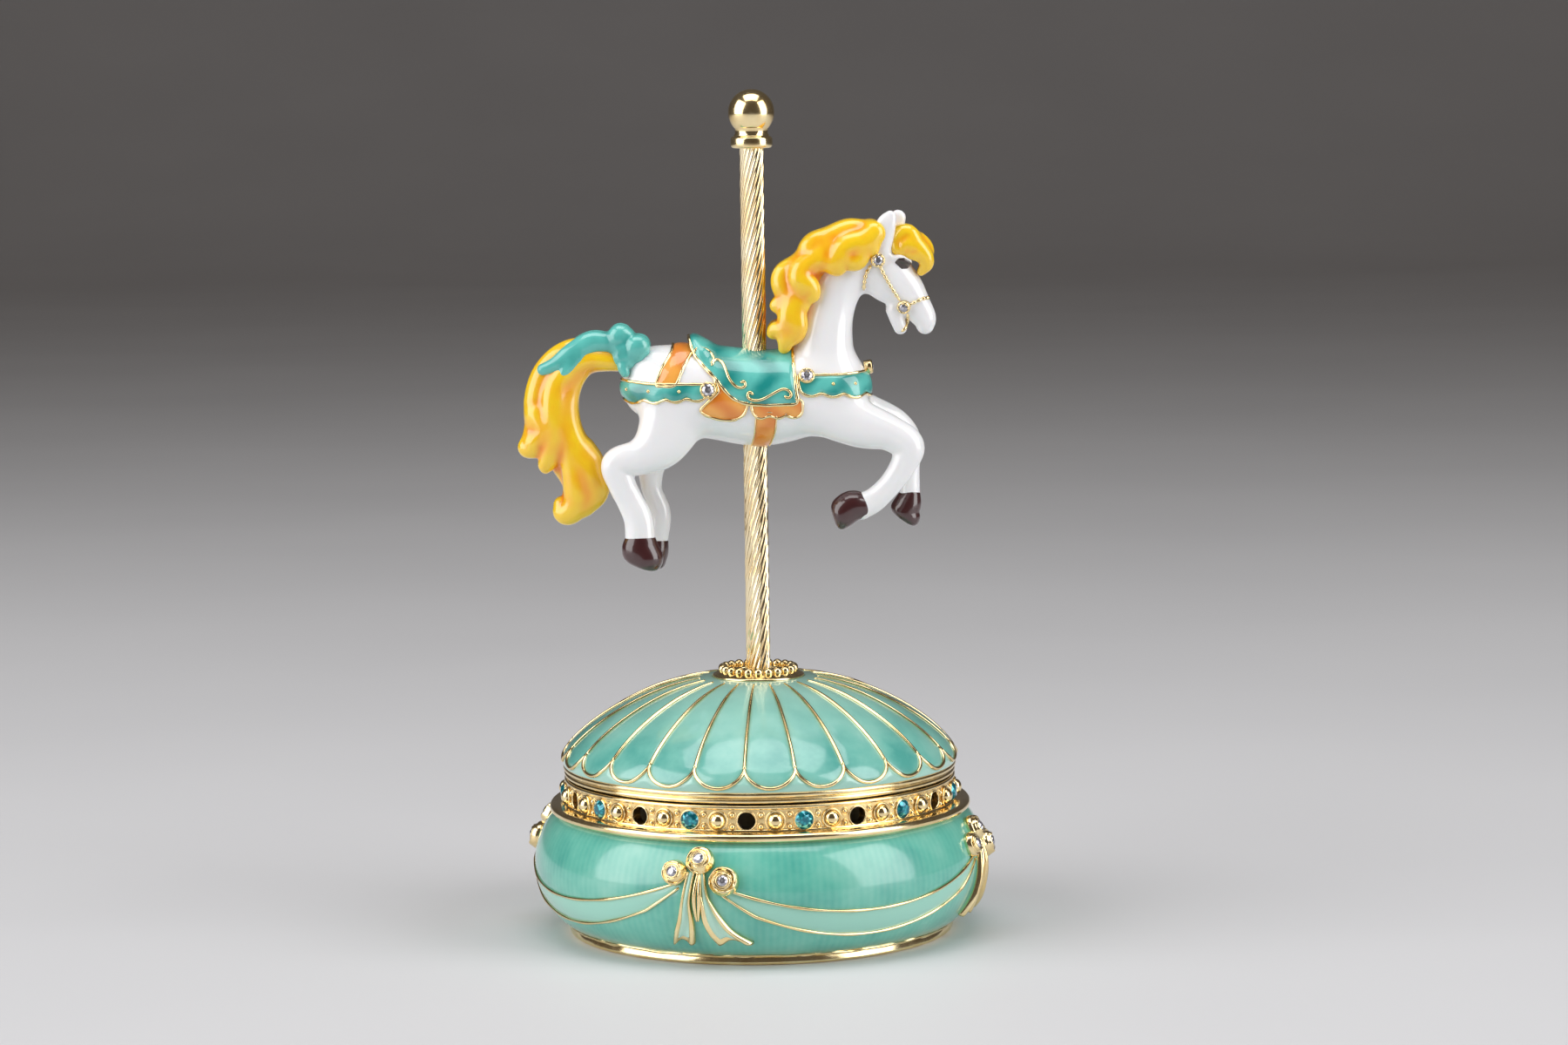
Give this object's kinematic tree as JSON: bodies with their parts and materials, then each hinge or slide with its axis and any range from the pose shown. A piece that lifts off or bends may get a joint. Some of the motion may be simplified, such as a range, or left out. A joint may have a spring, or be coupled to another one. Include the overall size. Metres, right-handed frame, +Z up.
{
  "type": "carousel music box",
  "caption": "Round enamelled music box with a domed top that turns, carrying a twisted pole and a jumping carousel horse; wind-up movement inside the bowl.",
  "frame": {"origin": "centre of the foot's resting plane, on the axis of the bowl and pole", "axes": "+Z up along the pole, +X the way the horse faces, -Y the horse's near side"},
  "size_m": [0.0837, 0.083, 0.15],
  "materials": {
    "turquoise_enamel": "glossy fired enamel on a cast alloy",
    "gold_plate": "polished gold plating",
    "teal_crystal": "cut crystal",
    "clear_crystal": "cut crystal",
    "white_enamel": "glossy fired enamel on a cast alloy",
    "yellow_enamel": "glossy translucent enamel",
    "steel": "plain steel",
    "zinc": "zinc die casting",
    "brass": "turned brass",
    "nylon": "moulded nylon",
    "felt": "black felt"
  },
  "bodies": {
    "base": {"bowl": "turquoise_enamel", "gallery_ring": "gold_plate", "gallery_stones": "teal_crystal", "bow_front": "gold_plate", "bow_right": "gold_plate", "bow_back": "gold_plate", "bow_left": "gold_plate", "bow_stones": "clear_crystal", "bottom_plate": "steel", "bottom_plate_screws": "steel", "felt_pad": "felt", "mounting_plate": "steel", "mounting_plate_screws": "steel", "movement_bedplate": "zinc", "bedplate_screws": "steel", "arbor_bush": "brass", "thrust_washer": "nylon", "spring_housing": "steel", "housing_screws": "steel", "mainspring": "steel", "cylinder_bearing_left": "brass", "cylinder_bearing_right": "brass", "comb": "steel", "comb_screws": "steel", "governor_bracket": "brass", "governor_screw": "steel"},
    "turning_top": {"dome": "turquoise_enamel", "drive_plate": "steel", "drive_plate_screws": "steel", "drive_hub": "brass", "pole_collar": "gold_plate", "pole": "gold_plate", "pole_nut": "brass", "finial": "gold_plate", "horse_body": "white_enamel", "horse_mane": "yellow_enamel", "horse_tail": "yellow_enamel", "horse_stones": "clear_crystal", "winding_arbor": "steel", "crown_wheel": "brass", "ratchet_wheel": "steel", "click_spring": "steel"},
    "cylinder": {"music_cylinder": "brass", "cylinder_pins": "steel", "cylinder_shaft": "steel", "cylinder_pinion": "brass", "cylinder_wheel": "brass"},
    "second_train": {"second_arbor": "steel", "second_pinion": "brass", "second_wheel": "nylon"},
    "governor": {"governor_worm": "steel", "governor_vanes": "nylon"}
  },
  "joints": [
    {"name": "top_turn", "type": "hinge", "parent": "base", "child": "turning_top", "pos_m": [0, 0, 0.028], "axis": [0, 0, 1], "continuous": true},
    {"name": "cylinder_turn", "type": "hinge", "parent": "base", "child": "cylinder", "pos_m": [0.0176, 0, 0.0139], "axis": [1, 0, 0], "continuous": true},
    {"name": "second_turn", "type": "hinge", "parent": "base", "child": "second_train", "pos_m": [0.0253, -0.00653, 0.01086], "axis": [1, 0, 0], "continuous": true},
    {"name": "governor_turn", "type": "hinge", "parent": "base", "child": "governor", "pos_m": [0.02635, -0.01183, 0.01086], "axis": [0, 0, 1], "continuous": true}
  ],
  "couplings": [
    {"joint": "cylinder_turn", "follows": "top_turn", "ratio": -3},
    {"joint": "second_turn", "follows": "top_turn", "ratio": 9},
    {"joint": "governor_turn", "follows": "top_turn", "ratio": 216}
  ]
}
